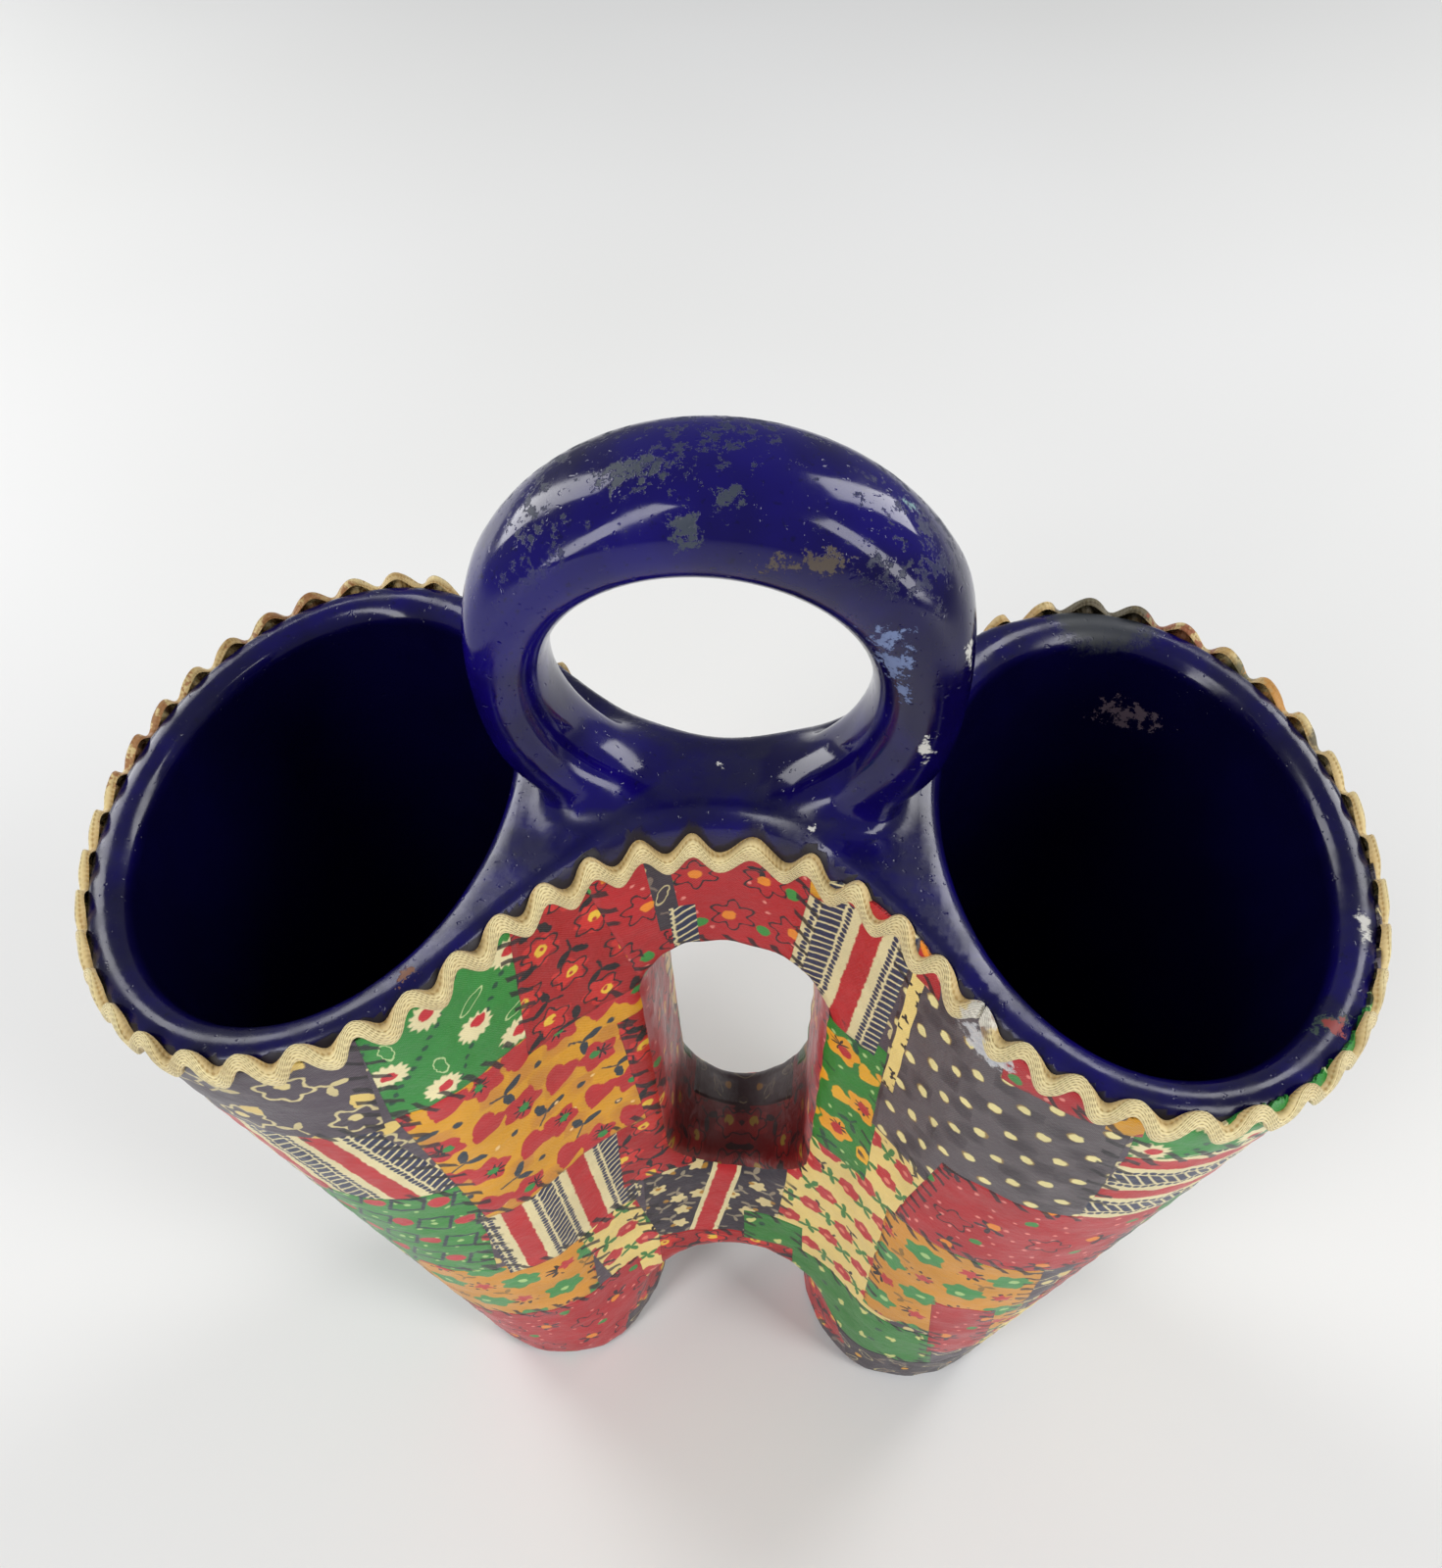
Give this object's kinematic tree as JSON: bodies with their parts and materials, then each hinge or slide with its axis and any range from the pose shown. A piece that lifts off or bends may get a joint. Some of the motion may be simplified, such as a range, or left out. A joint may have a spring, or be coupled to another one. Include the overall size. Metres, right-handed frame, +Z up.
{
  "type": "double-sided vase",
  "caption": "Double-sided vase: leaning oval vessels on separate feet, joined below an upright ring handle over a window and an arch, with patchwork cloth and wavy braid outside.",
  "frame": {"origin": "on the table, under the middle of the vase", "axes": "+X through both vessels towards the right one, -Y towards the front, +Z up"},
  "size_m": [0.1856, 0.0926, 0.2199],
  "materials": {
    "cobalt_glaze": "gloss",
    "patchwork_cotton": "satin",
    "cream_rickrack": "matt"
  },
  "bodies": {
    "root": {"left_vessel": "cobalt_glaze", "right_vessel": "cobalt_glaze", "upper_bridge": "cobalt_glaze", "lower_bridge": "cobalt_glaze", "ring_handle": "cobalt_glaze", "front_patchwork": "patchwork_cotton", "back_patchwork": "patchwork_cotton", "window_lining": "patchwork_cotton", "arch_lining": "patchwork_cotton", "rickrack_braid": "cream_rickrack"}
  },
  "joints": []
}
